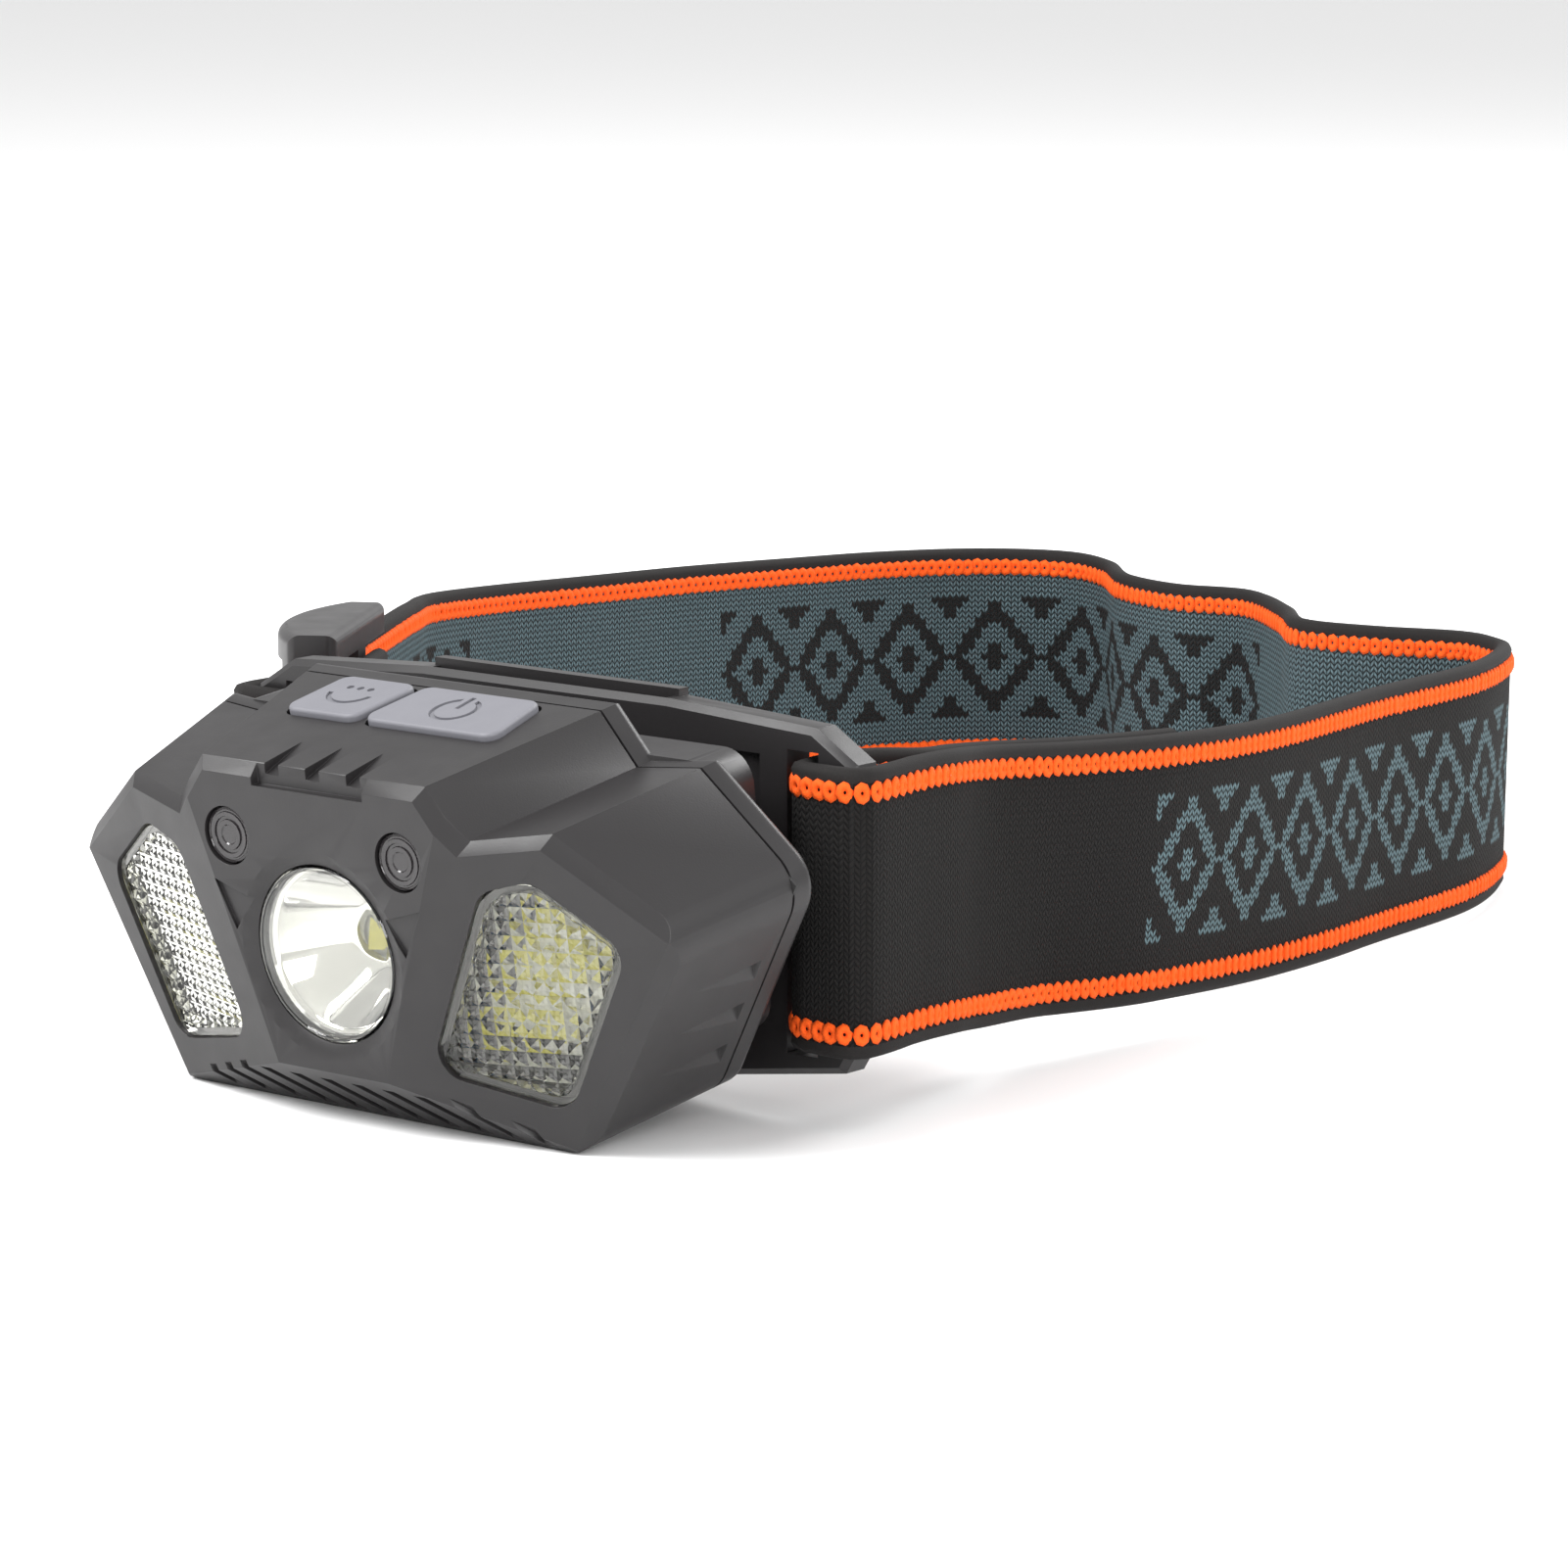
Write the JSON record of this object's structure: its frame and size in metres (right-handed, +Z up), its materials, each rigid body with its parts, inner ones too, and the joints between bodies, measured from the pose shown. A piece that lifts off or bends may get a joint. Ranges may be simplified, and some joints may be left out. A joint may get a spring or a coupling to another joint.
{
  "type": "headlamp",
  "caption": "Tilting LED headlamp with a faceted housing, flood and spot lights and motion sensor, on a bracket plate with an adjustable elastic headband.",
  "frame": {"origin": "centre of the whole object's footprint, on the surface that it stands on", "axes": "+Z up, the lamp looks along -Y, the band runs back along +Y, +X is the right-hand side seen from the front"},
  "size_m": [0.1125, 0.1848, 0.0361],
  "materials": {
    "black_abs": "fine matt moulded ABS",
    "grey_acetal": "satin moulded acetal",
    "black_silicone": "soft matt silicone",
    "grey_silicone": "soft matt silicone",
    "zinc_screw": "zinc plated",
    "clear_pc": "clear polycarbonate",
    "smoked_pc": "smoked polycarbonate",
    "reflector_chrome": "vacuum metallised",
    "led_board": "white solder mask on aluminium",
    "phosphor": "yellow phosphor",
    "diode_resin": "tinted epoxy",
    "board_green": "green solder mask",
    "switch_metal": "pressed steel",
    "cell_wrap": "shrink film",
    "port_steel": "stamped steel",
    "eva_foam": "closed-cell foam",
    "elastic_band": "knitted elastic jacquard"
  },
  "bodies": {
    "bracket": {"bracket_plate": "black_abs", "tilt_pin": "zinc_screw", "forehead_pad": "eva_foam", "headband": "elastic_band", "band_end_right": "elastic_band", "band_end_left": "elastic_band"},
    "lamp": {"front_shell": "black_abs", "rear_cover": "black_abs", "housing_seal": "black_silicone", "cover_screws": "zinc_screw", "spot_lens": "clear_pc", "spot_reflector": "reflector_chrome", "spot_led_board": "led_board", "spot_led": "phosphor", "flood_lens_left": "clear_pc", "flood_lens_right": "clear_pc", "flood_board_left": "led_board", "flood_board_right": "led_board", "flood_leds_left": "phosphor", "flood_leds_right": "phosphor", "sensor_window_left": "smoked_pc", "sensor_window_right": "smoked_pc", "ir_emitter": "diode_resin", "ir_receiver": "diode_resin", "circuit_board": "board_green", "power_switch": "switch_metal", "sensor_switch": "switch_metal", "battery_cell": "cell_wrap", "charge_port": "port_steel"},
    "power_button": {"power_button": "grey_silicone"},
    "sensor_button": {"sensor_button": "grey_silicone"},
    "port_flap": {"port_flap": "black_silicone"},
    "slider": {"strap_slider": "grey_acetal", "slider_loop": "elastic_band"}
  },
  "joints": [
    {"name": "lamp_tilt", "type": "hinge", "parent": "bracket", "child": "lamp", "pos_m": [0.01899, -0.06553, 0.00437], "axis": [1, 0, 0], "range_deg": [-6, 55]},
    {"name": "power_press", "type": "slide", "parent": "lamp", "child": "power_button", "axis": [0, 0.2589, -0.9659], "range_m": [0, 0.0007], "stiffness_N_per_m": 600, "springref_m": -0.0005},
    {"name": "sensor_press", "type": "slide", "parent": "lamp", "child": "sensor_button", "axis": [0, 0.2589, -0.9659], "range_m": [0, 0.0007], "stiffness_N_per_m": 600, "springref_m": -0.0005},
    {"name": "port_flap_hinge", "type": "hinge", "parent": "lamp", "child": "port_flap", "pos_m": [0.01199, -0.07773, 0.00209], "axis": [0, 0.9659, 0.2589], "range_deg": [0, 100]},
    {"name": "slider_travel", "type": "slide", "parent": "bracket", "child": "slider", "axis": [-0.5152, 0.857, 0], "range_m": [0, 0.012]}
  ]
}
